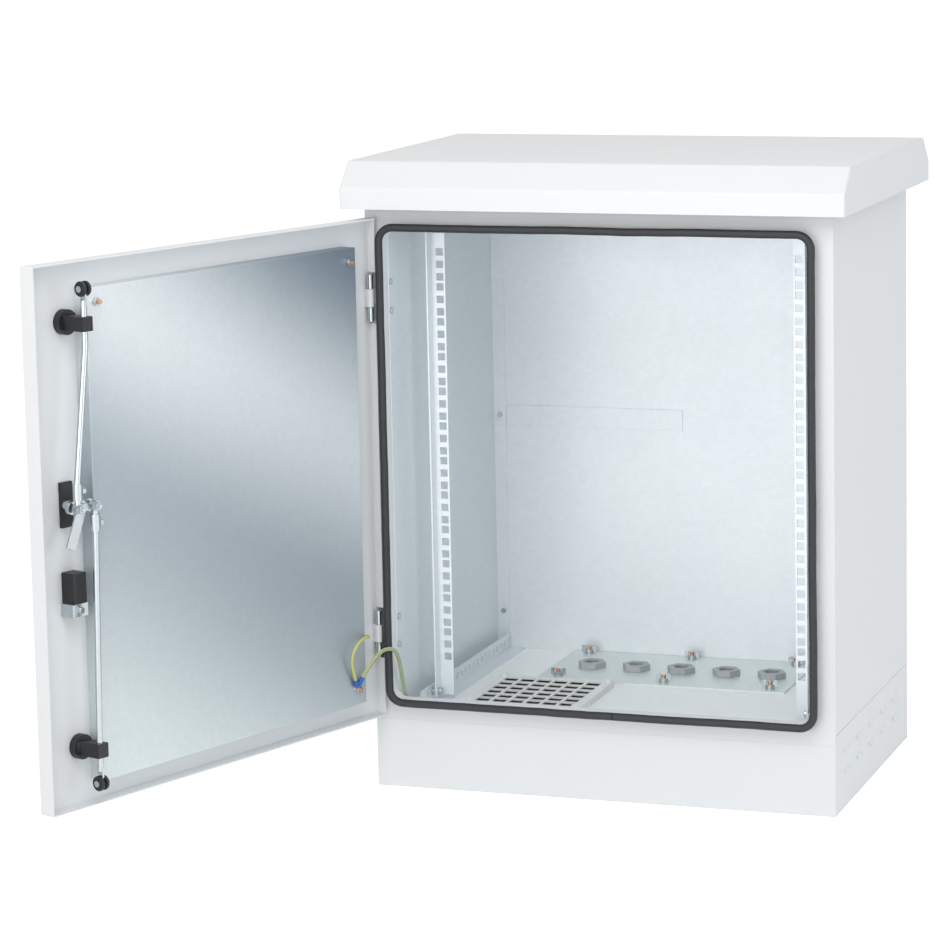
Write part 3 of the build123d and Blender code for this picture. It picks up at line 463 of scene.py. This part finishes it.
class Workshop:
    """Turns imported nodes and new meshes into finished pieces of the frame."""

    flat_degrees: float = 0.4
    smooth_degrees: float = 40.0
    round_degrees: float = 50.0
    sharp_degrees: float = 32.0
    flat_face_mm: float = 4.0
    wide_face_mm: float = 5.0

    def __init__(self) -> None:
        """Read which body each node belongs to."""
        self.wardrobe = Wardrobe()
        bodies = frame["record"]["behaviour"]["bodies"]
        self.body_of = {node: body for body, nodes in bodies.items() for node in nodes}

    def copy_of(self, node: str) -> bmesh.types.BMesh:
        """Return a merged copy of a node's mesh, with its flat faces whole.

        Args:
            node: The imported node.

        Returns:
            The copy, which the caller frees.
        """
        shape = bmesh.new()
        shape.from_mesh(frame["nodes"][node].data)
        bmesh.ops.remove_doubles(shape, verts=shape.verts, dist=MERGE)
        bmesh.ops.dissolve_limit(shape, angle_limit=math.radians(self.flat_degrees), verts=shape.verts,
                                 edges=shape.edges)
        return shape

    def finish(self, name: str, shape: bmesh.types.BMesh, body: str, finish: Finish, replaced: tuple[str, ...],
               smooth_degrees: float = smooth_degrees, flat_mm: float = 0.0) -> bpy.types.Object:
        """Make a piece from a mesh, dress it and put it on its body.

        Args:
            name: The piece's name.
            shape: Its mesh, which is freed.
            body: The body it moves with.
            finish: Its finish.
            replaced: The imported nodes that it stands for.
            smooth_degrees: Edges sharper than this stay sharp.
            flat_mm: Faces broader than this are shaded flat, or 0 for none.

        Returns:
            The finished piece.
        """
        mesh = bpy.data.meshes.new(name)
        shape.to_mesh(mesh)
        shape.free()
        mesh.shade_smooth()
        mesh.set_sharp_from_angle(angle=math.radians(smooth_degrees))
        if flat_mm:
            for face in mesh.polygons:
                longest = max((mesh.vertices[a].co - mesh.vertices[b].co).length for a, b in face.edge_keys)
                face.use_smooth = face.area < flat_mm * MM * longest
        piece = bpy.data.objects.new(name, mesh)
        bpy.context.scene.collection.objects.link(piece)
        weighted = piece.modifiers.new("Even shading", "WEIGHTED_NORMAL")
        weighted.keep_sharp = True
        self.wardrobe.dress(piece, finish)
        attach(piece, body)
        if replaced:
            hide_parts(*replaced)
        LOG.info("%s on %s, %d faces", name, body, len(mesh.polygons))
        return piece

    def soften(self, node: str, finish: Finish, edge_mm: float, fold_mm: float = 0.0) -> bpy.types.Object:
        """Replace a node by its own shape with rounded folds and broken edges.

        Args:
            node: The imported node.
            finish: Its finish.
            edge_mm: The width of the broken edges.
            fold_mm: The radius of folds between two wide faces, or 0 for none.

        Returns:
            The finished piece.
        """
        shape = self.copy_of(node)
        if fold_mm:
            self.round_edges(shape, fold_mm, folds_only=True)
        self.round_edges(shape, edge_mm, folds_only=False)
        flat_mm = self.flat_face_mm if fold_mm else 0.0
        return self.finish(node + "_finished", shape, self.body_of[node], finish, (node,), flat_mm=flat_mm)

    def smooth(self, node: str, finish: Finish) -> bpy.types.Object:
        """Replace a node by its own shape with its round faces shaded smooth.

        Args:
            node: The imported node.
            finish: Its finish.

        Returns:
            The finished piece.
        """
        shape = self.copy_of(node)
        return self.finish(node + "_finished", shape, self.body_of[node], finish, (node,), self.round_degrees)

    @staticmethod
    def breadth(face: bmesh.types.BMFace) -> float:
        """Return a face's area over its longest edge, which is small on a cut sheet edge."""
        return face.calc_area() / max(edge.calc_length() for edge in face.edges)

    def round_edges(self, shape: bmesh.types.BMesh, width_mm: float, folds_only: bool) -> None:
        """Bevel the sharp outward edges of a mesh.

        Args:
            shape: The mesh, changed in place.
            width_mm: The bevel's width.
            folds_only: Take only edges between two wide faces.
        """
        sharp = math.radians(self.sharp_degrees)
        chosen = []
        for edge in shape.edges:
            if len(edge.link_faces) != 2 or edge.calc_face_angle_signed(0.0) < sharp:
                continue
            if folds_only and min(self.breadth(face) for face in edge.link_faces) < self.wide_face_mm * MM:
                continue
            chosen.append(edge)
        bmesh.ops.bevel(shape, geom=chosen, offset=width_mm * MM, offset_type="OFFSET", affect="EDGES",
                        segments=3 if folds_only else 2, profile=0.5, material=-1, clamp_overlap=True, loop_slide=True)
        bmesh.ops.remove_doubles(shape, verts=shape.verts, dist=MERGE)
        bmesh.ops.dissolve_degenerate(shape, edges=shape.edges, dist=MERGE)


@dataclass
class Camera:
    """The photograph's camera, fitted to the rack holes and the body's edges."""

    place_mm: Triple = (1280.349, -4252.971, 1173.785)
    yaw: float = 0.3286722529
    pitch: float = -0.1483253803
    roll: float = -0.0309874505
    focal_px: float = 3526.589
    frame_px: float = 950.0
    axis_px: tuple[float, float] = (520.0, 380.0)

    def build(self) -> None:
        """Make the camera and set it as the scene's."""
        data = bpy.data.cameras.new("photo_camera")
        data.sensor_width = 36.0
        data.lens = self.focal_px / self.frame_px * data.sensor_width
        data.shift_x = (self.frame_px / 2 - self.axis_px[0]) / self.frame_px
        data.shift_y = (self.axis_px[1] - self.frame_px / 2) / self.frame_px
        data.clip_end = 50.0
        camera = bpy.data.objects.new("photo_camera", data)
        turn = (Matrix.Rotation(self.roll, 4, "Y") @ Matrix.Rotation(self.pitch, 4, "X")
                @ Matrix.Rotation(self.yaw, 4, "Z"))
        place = Matrix.Translation(Vector(self.place_mm) * MM)
        camera.matrix_world = place @ turn @ Matrix.Rotation(math.radians(90.0), 4, "X")
        bpy.context.scene.collection.objects.link(camera)
        bpy.context.scene.camera = camera


@dataclass(frozen=True)
class Lamp:
    """One soft rectangular lamp that points at a target."""

    name: str
    place: Triple
    target: Triple
    size: tuple[float, float]
    watts: float
    colour: RGB = WHITE_LIGHT

    def build(self) -> None:
        """Make the lamp."""
        data = bpy.data.lights.new(self.name, "AREA")
        data.shape = "RECTANGLE"
        data.size, data.size_y = self.size
        data.energy = self.watts
        data.color = self.colour
        lamp = bpy.data.objects.new(self.name, data)
        lamp.location = self.place
        aim = Vector(self.target) - Vector(self.place)
        lamp.rotation_euler = aim.to_track_quat("-Z", "Y").to_euler()
        bpy.context.scene.collection.objects.link(lamp)


@dataclass
class Studio:
    """A pale floor, a white surround and soft lamps."""

    floor_size: float = 60.0
    floor_colour: RGB = (0.80, 0.80, 0.80)
    floor_roughness: float = 0.9
    ambient: float = 0.68
    glow: float = 0.55
    plinth_half: tuple[float, float] = (0.296, 0.199)
    lamps: tuple[Lamp, ...] = (
        Lamp("key_front", (-0.5, -4.6, 0.9), (0.0, 0.0, 0.4), (3.4, 1.6), 45.0),
        Lamp("fill_right", (4.0, -1.1, 0.9), (0.0, 0.0, 0.45), (2.0, 1.6), 24.0, (0.76, 0.90, 1.0)),
        Lamp("bay_soft", (0.2, -1.7, 1.9), (0.0, 0.0, 0.1), (1.4, 1.0), 12.5),
    )

    def build(self) -> None:
        """Make the world, the floor and the lamps."""
        self.world()
        self.floor()
        for lamp in self.lamps:
            lamp.build()
        bpy.context.scene.view_settings.view_transform = "Standard"

    def seen_directly(self, nodes: bpy.types.Nodes, links: bpy.types.NodeLinks) -> bpy.types.NodeSocket:
        """Return 1 for camera, glossy and transmission rays, and 0 for the rest.

        Args:
            nodes: The nodes of the tree that asks.
            links: Its links.

        Returns:
            The 0 or 1.
        """
        path = nodes.new("ShaderNodeLightPath")
        total = path.outputs["Is Camera Ray"]
        for name in ("Is Glossy Ray", "Is Transmission Ray"):
            highest = nodes.new("ShaderNodeMath")
            highest.operation = "MAXIMUM"
            links.new(total, highest.inputs[0])
            links.new(path.outputs[name], highest.inputs[1])
            total = highest.outputs[0]
        return total

    def world(self) -> None:
        """Make a plain world that shows white and lights softly."""
        world = bpy.data.worlds.new("white_surround")
        bpy.context.scene.world = world
        world.use_nodes = True
        nodes, links = world.node_tree.nodes, world.node_tree.links
        nodes.clear()
        mix = nodes.new("ShaderNodeMixShader")
        for index, strength in ((1, self.ambient), (2, 1.0)):
            background = nodes.new("ShaderNodeBackground")
            background.inputs["Strength"].default_value = strength
            background.inputs["Color"].default_value = (*WHITE_LIGHT, 1.0)
            links.new(background.outputs[0], mix.inputs[index])
        links.new(self.seen_directly(nodes, links), mix.inputs[0])
        output = nodes.new("ShaderNodeOutputWorld")
        links.new(mix.outputs[0], output.inputs["Surface"])

    def clear_of_plinth(self, tree: Tree) -> bpy.types.NodeSocket:
        """Return 0 on the floor inside the plinth and 1 outside it.

        Args:
            tree: The floor's tree.

        Returns:
            The 0 or 1.
        """
        split = tree.add("SeparateXYZ")
        tree.links.new(tree.coordinates(), split.inputs["Vector"])
        sides = []
        for axis, reach in (("X", self.plinth_half[0]), ("Y", self.plinth_half[1])):
            size = tree.add("Math", operation="ABSOLUTE")
            tree.links.new(split.outputs[axis], size.inputs[0])
            side = tree.add("Math", operation="GREATER_THAN")
            side.inputs[1].default_value = reach
            tree.links.new(size.outputs[0], side.inputs[0])
            sides.append(side.outputs[0])
        either = tree.add("Math", operation="MAXIMUM")
        for side, socket in zip(sides, either.inputs):
            tree.links.new(side, socket)
        return either.outputs[0]

    def floor(self) -> None:
        """Make the pale floor, which keeps the shadow and blends into the white."""
        shape = bmesh.new()
        bmesh.ops.create_grid(shape, x_segments=1, y_segments=1, size=self.floor_size / 2)
        mesh = bpy.data.meshes.new("floor")
        shape.to_mesh(mesh)
        shape.free()
        floor = bpy.data.objects.new("floor", mesh)
        bpy.context.scene.collection.objects.link(floor)
        tree = Tree("pale_floor")
        tree.shader.inputs["Base Color"].default_value = (*self.floor_colour, 1.0)
        tree.shader.inputs["Roughness"].default_value = self.floor_roughness
        glow = tree.add("Emission")
        scaled = tree.add("Math", operation="MULTIPLY")
        scaled.inputs[1].default_value = self.glow
        tree.links.new(self.seen_directly(tree.nodes, tree.links), scaled.inputs[0])
        outside = tree.add("Math", operation="MULTIPLY")
        tree.links.new(scaled.outputs[0], outside.inputs[0])
        tree.links.new(self.clear_of_plinth(tree), outside.inputs[1])
        tree.links.new(outside.outputs[0], glow.inputs["Strength"])
        both = tree.add("AddShader")
        tree.links.new(tree.shader.outputs["BSDF"], both.inputs[0])
        tree.links.new(glow.outputs[0], both.inputs[1])
        tree.links.new(both.outputs[0], tree.output.inputs["Surface"])
        mesh.materials.append(tree.material)


@dataclass
class EarthLeads:
    """The two yellow and green leads from the door's earth stud."""

    workshop: Workshop
    diameter_mm: float = 5.0
    pin_mm: tuple[float, float] = (-286.5, -214.0)
    door_route_mm: list[Triple] = field(default_factory=lambda: [
        (-219.0, -195.4, 156.1), (-213.0, -193.5, 168.0), (-207.5, -191.0, 183.0), (-210.0, -188.0, 198.0),
        (-223.0, -187.0, 207.5), (-238.0, -190.0, 208.0), (-250.5, -199.5, 204.0), (-253.9, -209.4, 201.0)])
    hinge_route_mm: list[Triple] = field(default_factory=lambda: [
        (-286.8, -271.9, 156.5), (-282.6, -266.6, 165.3), (-278.3, -258.5, 173.8), (-274.6, -248.5, 180.6),
        (-270.6, -237.5, 185.3), (-262.8, -225.5, 184.3), (-260.3, -215.5, 172.0), (-260.6, -207.0, 153.0),
        (-261.4, -199.0, 133.5), (-261.2, -190.5, 116.5), (-259.2, -184.8, 103.5)])

    def swing(self) -> Matrix:
        """Return the turn that takes the shut door's points to the open door.

        Returns:
            The turn about the hinge pins.
        """
        pin = Vector((*self.pin_mm, 0.0)) * MM
        return Matrix.Translation(pin) @ Matrix.Rotation(-DOOR_OPEN, 4, "Z") @ Matrix.Translation(-pin)

    def curve(self, name: str, points: list[Vector], bevelled: bool) -> bpy.types.Object:
        """Return a smooth curve through a route, as a tube or as a bare line.

        Args:
            name: The curve's name.
            points: The route, in metres.
            bevelled: Give it the lead's thickness.

        Returns:
            The curve, as an object of the scene.
        """
        data = bpy.data.curves.new(name, "CURVE")
        data.dimensions = "3D"
        data.resolution_u = 10
        spline = data.splines.new("NURBS")
        spline.points.add(len(points) - 1)
        for point, place in zip(spline.points, points):
            point.co = (*place, 1.0)
        spline.order_u = 3
        spline.use_endpoint_u = True
        if bevelled:
            data.bevel_depth = self.diameter_mm / 2 * MM
            data.bevel_resolution = 4
            data.use_fill_caps = True
        piece = bpy.data.objects.new(name, data)
        bpy.context.scene.collection.objects.link(piece)
        return piece

    def door_lead(self) -> None:
        """Build the lead that loops from the stud to the door's skin."""
        turn = self.swing()
        points = [turn @ (Vector(point) * MM) for point in self.door_route_mm]
        line = self.curve("door_lead_line", points, False)
        length = self.measure(line)[1]
        bpy.data.objects.remove(line)
        piece = self.curve("earth_lead_on_door", points, True)
        self.workshop.wardrobe.dress(piece, Finish.SHEATH)
        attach(piece, "door")
        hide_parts("earth_lead_door")
        LOG.info("earth_lead_on_door, %.0f mm", length / MM)

    def measure(self, line: bpy.types.Object) -> tuple[list[Vector], float]:
        """Return the points of a bare line and its length.

        Args:
            line: The line.

        Returns:
            Its points and its length, in metres.
        """
        mesh = bpy.data.meshes.new_from_object(line)
        points = [vertex.co.copy() for vertex in mesh.vertices]
        bpy.data.meshes.remove(mesh)
        return points, sum((b - a).length for a, b in zip(points, points[1:]))

    def hinge_lead(self) -> None:
        """Build the lead that crosses the hinge, as a mesh tube."""
        route = [Vector(point) * MM for point in self.hinge_route_mm]
        line = self.curve("hinge_lead_line", route, False)
        path, length = self.measure(line)
        bpy.data.objects.remove(line)
        tube = self.curve("hinge_lead_tube", route, True)
        mesh = bpy.data.meshes.new_from_object(tube)
        bpy.data.objects.remove(tube)
        mesh.name = "earth_lead_over_hinge"
        mesh.shade_smooth()
        piece = bpy.data.objects.new("earth_lead_over_hinge", mesh)
        bpy.context.scene.collection.objects.link(piece)
        self.workshop.wardrobe.dress(piece, Finish.SHEATH)
        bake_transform(piece)
        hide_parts("earth_lead_hinge")
        LOG.info("earth_lead_over_hinge, %.0f mm", length / MM)

    def build(self) -> None:
        """Build both leads."""
        self.door_lead()
        self.hinge_lead()


@dataclass
class SheetMetal:
    """The painted shell, door pan, plinth and hood, and the bare inner sheets."""

    workshop: Workshop
    painted: tuple[str, ...] = ("outer_shell", "rear_panel", "hood", "door_pan", "plinth_front", "plinth_rear",
                                "plinth_side_left", "plinth_side_right")
    bare: tuple[str, ...] = ("lining_left", "lining_right", "lining_ceiling", "rear_lining",
                             "depth_rail_lower_left", "depth_rail_lower_right", "depth_rail_upper_left",
                             "depth_rail_upper_right", "upright_left", "upright_right")
    fold_mm: float = 2.4
    edge_mm: float = 0.35
    bare_fold_mm: float = 1.0
    bare_edge_mm: float = 0.25
    spacer_edge_mm: float = 0.5

    def build(self) -> None:
        """Round the folds and break the edges of every sheet."""
        for node in self.painted:
            self.workshop.soften(node, Finish.PAINT, self.edge_mm, self.fold_mm)
        for node in self.bare:
            self.workshop.soften(node, Finish.SHEET, self.bare_edge_mm, self.bare_fold_mm)
        # the floor plate takes the lifted, painted-light copy of the galvanised finish
        self.workshop.soften("floor_plate", Finish.FLOOR, self.bare_edge_mm, self.bare_fold_mm)
        self.workshop.soften("gland_plate", Finish.PLATE, self.bare_edge_mm, self.bare_fold_mm)
        self.workshop.soften("hood_spacers", Finish.SHEET, self.spacer_edge_mm)
        self.workshop.soften("door_lining", Finish.LINING, self.bare_edge_mm, self.bare_fold_mm)


@dataclass
class Gasket:
    """The rubber edge trim around the opening: a soft round tube with one butt joint."""

    workshop: Workshop
    half_width_mm: float = 273.5
    bottom_mm: float = 112.0
    top_mm: float = 712.0
    middle_y_mm: float = -215.2
    corner_mm: float = 18.0
    radius_mm: float = 4.9
    joint_x_mm: float = 20.0
    joint_gap_mm: float = 0.8
    wave_mm: float = 0.7
    wave_per_mm: float = 0.012
    ripple_per_mm: float = 0.05
    ripple_share: float = 0.35
    ripple_offset: Triple = (7.0, 0.0, 0.0)
    step_mm: float = 6.0
    corner_steps: int = 8
    sides: int = 16
    smooth_degrees: float = 60.0

    def route(self) -> list[tuple[Vector, Vector]]:
        """Return the centre line's points, each with its outward direction.

        Returns:
            Pairs of a point in millimetres and a direction away from the opening.
        """
        left, right = -self.half_width_mm, self.half_width_mm
        corner = self.corner_mm
        corners = [(right - corner, self.bottom_mm + corner, -90.0), (right - corner, self.top_mm - corner, 0.0),
                   (left + corner, self.top_mm - corner, 90.0), (left + corner, self.bottom_mm + corner, 180.0)]
        down = Vector((0.0, 0.0, -1.0))
        gap = self.joint_gap_mm / 2
        line = [(Vector((self.joint_x_mm + gap, 0.0, self.bottom_mm)), down)]
        for x, z, start in corners:
            for step in range(self.corner_steps + 1):
                angle = math.radians(start + 90.0 * step / self.corner_steps)
                outward = Vector((math.cos(angle), 0.0, math.sin(angle)))
                line.append((Vector((x, 0.0, z)) + outward * corner, outward))
        line.append((Vector((self.joint_x_mm - gap, 0.0, self.bottom_mm)), down))
        route = []
        for (start, first), (end, last) in zip(line, line[1:]):
            count = max(1, int((end - start).length / self.step_mm))
            for index in range(count):
                share = index / count
                route.append((start.lerp(end, share), first.lerp(last, share).normalized()))
        route.append(line[-1])
        return route

    def build(self) -> None:
        """Build the tube ring by ring along its route."""
        shape = bmesh.new()
        rings = []
        for place, outward in self.route():
            wave = noise.noise(place * self.wave_per_mm) * self.wave_mm
            ripple = noise.noise(place * self.ripple_per_mm + Vector(self.ripple_offset))
            centre = place + outward * (wave + ripple * self.wave_mm * self.ripple_share)
            ring = []
            for side in range(self.sides):
                angle = math.tau * side / self.sides
                spread = outward * math.cos(angle) * self.radius_mm
                depth = self.middle_y_mm + math.sin(angle) * self.radius_mm
                ring.append(shape.verts.new((centre + spread + Vector((0.0, depth, 0.0))) * MM))
            rings.append(ring)
        for near, far in zip(rings, rings[1:]):
            for side in range(self.sides):
                after = (side + 1) % self.sides
                shape.faces.new((near[side], far[side], far[after], near[after]))
        shape.faces.new(rings[0])
        shape.faces.new(reversed(rings[-1]))
        bmesh.ops.recalc_face_normals(shape, faces=shape.faces)
        self.workshop.finish("gasket_trim", shape, "cabinet", Finish.RUBBER, ("gasket",), self.smooth_degrees)


@dataclass
class RodBolts:
    """The hex bolts at each lock rod's eye and sleeve, which the solids leave out."""

    workshop: Workshop
    hex_mm: float = 5.0
    head_mm: float = 4.4
    head_sunk_mm: float = 0.5
    tip_mm: float = 2.8
    tip_start_mm: float = 2.0
    tip_sides: int = 14
    chamfer_mm: float = 0.5
    rim_angle: float = 1.2
    smooth_degrees: float = 30.0
    eye_mm: float = 6.0
    sleeve_mm: float = 20.0
    sleeve_radius_mm: float = 5.3
    off_skin: Vector = field(default_factory=lambda: Vector((math.sin(DOOR_OPEN), math.cos(DOOR_OPEN), 0.0)))
    to_hinge: Vector = field(default_factory=lambda: Vector((-math.cos(DOOR_OPEN), math.sin(DOOR_OPEN), 0.0)))

    def bolt(self, shape: bmesh.types.BMesh, base: Vector, way: Vector) -> None:
        """Add one hex head with a round tip to a mesh.

        Args:
            shape: The mesh, changed in place.
            base: Where the head sits.
            way: The direction that it points in.
        """
        turn = way.to_track_quat("Z", "Y").to_matrix().to_4x4()
        height = self.head_mm * MM
        parts = ((6, self.hex_mm, -self.head_sunk_mm), (self.tip_sides, self.tip_mm, self.tip_start_mm))
        for sides, radius, start in parts:
            centre = base + way * (start + self.head_mm / 2) * MM
            made = bmesh.ops.create_cone(shape, cap_ends=True, segments=sides, radius1=radius * MM,
                                         radius2=radius * MM, depth=height,
                                         matrix=Matrix.Translation(centre) @ turn)
            edges = dict.fromkeys(edge for vert in made["verts"] for edge in vert.link_edges)
            rims = [edge for edge in edges if edge.calc_face_angle_signed(0.0) > self.rim_angle]
            bmesh.ops.bevel(shape, geom=rims, offset=self.chamfer_mm * MM, offset_type="OFFSET", affect="EDGES",
                            segments=2, profile=0.5, material=-1, clamp_overlap=True)

    def build(self) -> None:
        """Put two bolts on each rod, at its eye and beside its sleeve."""
        for node, sign in (("rod_upper", 1.0), ("rod_lower", -1.0)):
            corners = [vert.co for vert in frame["nodes"][node].data.vertices]
            end = min(corner.z * sign for corner in corners)
            near = [corner for corner in corners if corner.z * sign < end + 2 * self.eye_mm * MM]
            centre = sum(near, Vector()) / len(near)
            depths = [corner.dot(self.off_skin) for corner in near]
            front = max(depths) - centre.dot(self.off_skin)
            middle = (max(depths) + min(depths)) / 2 - centre.dot(self.off_skin)
            centre.z = (end + self.eye_mm * MM) * sign
            shape = bmesh.new()
            self.bolt(shape, centre + self.off_skin * front, self.off_skin)
            side = centre + self.to_hinge * self.sleeve_radius_mm * MM + self.off_skin * middle
            self.bolt(shape, side + Vector((0.0, 0.0, sign * self.sleeve_mm * MM)), self.to_hinge)
            body = self.workshop.body_of[node]
            self.workshop.finish(node + "_bolts", shape, body, Finish.ZINC, (), self.smooth_degrees)


@dataclass
class Hardware:
    """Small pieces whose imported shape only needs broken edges."""

    workshop: Workshop
    zinc: tuple[str, ...] = ("hinge_bracket_upper", "hinge_bracket_lower", "hinge_pins", "hinge_screws",
                             "strip_screws", "rail_bolts", "wing_nuts", "door_nuts", "lock_boss", "lock_clamp",
                             "lock_cam", "lock_tongue", "cam_bolt", "lift_pin", "lock_barrel", "terminal_rings",
                             "floor_earth")
    zinc_edge_mm: float = 0.4
    black: tuple[str, ...] = ("rod_guides", "lock_plate", "lock_case", "rollers_upper", "rollers_lower",
                              "handle_base")
    black_edge_mm: float = 1.0
    rods: tuple[str, ...] = ("rod_upper", "rod_lower")
    door_fittings: tuple[tuple[str, Finish, float], ...] = (
        ("handle_grip", Finish.BLACK_METAL, 2.5), ("handle_spindle", Finish.BLACK_METAL, 0.8),
        ("hinge_knuckles", Finish.PAINT, 0.5), ("door_studs", Finish.COPPER, 0.5),
        ("gland_plate_studs", Finish.COPPER, 0.5))
    floor_fittings: tuple[tuple[str, Finish, float], ...] = (
        ("grille_filter", Finish.RUBBER, 0.5), ("gland_bodies", Finish.GREY, 0.6),
        ("gland_locknuts", Finish.GREY, 0.9), ("terminal_sleeves", Finish.BLUE, 0.6))

    def build(self) -> None:
        """Dress the fixings, the lock, the handle and the floor fittings."""
        for node in self.zinc:
            self.workshop.soften(node, Finish.ZINC, self.zinc_edge_mm)
        for node in self.black:
            self.workshop.soften(node, Finish.BLACK, self.black_edge_mm)
        for node in self.rods:
            self.workshop.smooth(node, Finish.ZINC)
        for node, finish, edge_mm in self.door_fittings:
            self.workshop.soften(node, finish, edge_mm)
        self.workshop.smooth("vent_grille", Finish.WHITE)
        for node, finish, edge_mm in self.floor_fittings:
            self.workshop.soften(node, finish, edge_mm)


def main() -> None:
    """Build the cabinet's looks in order."""
    logging.basicConfig(level=logging.INFO, format="%(message)s")
    workshop = Workshop()
    Camera().build()
    EarthLeads(workshop).build()
    SheetMetal(workshop).build()
    Gasket(workshop).build()
    Hardware(workshop).build()
    RodBolts(workshop).build()
    Studio().build()


if __name__ == "__main__":
    main()
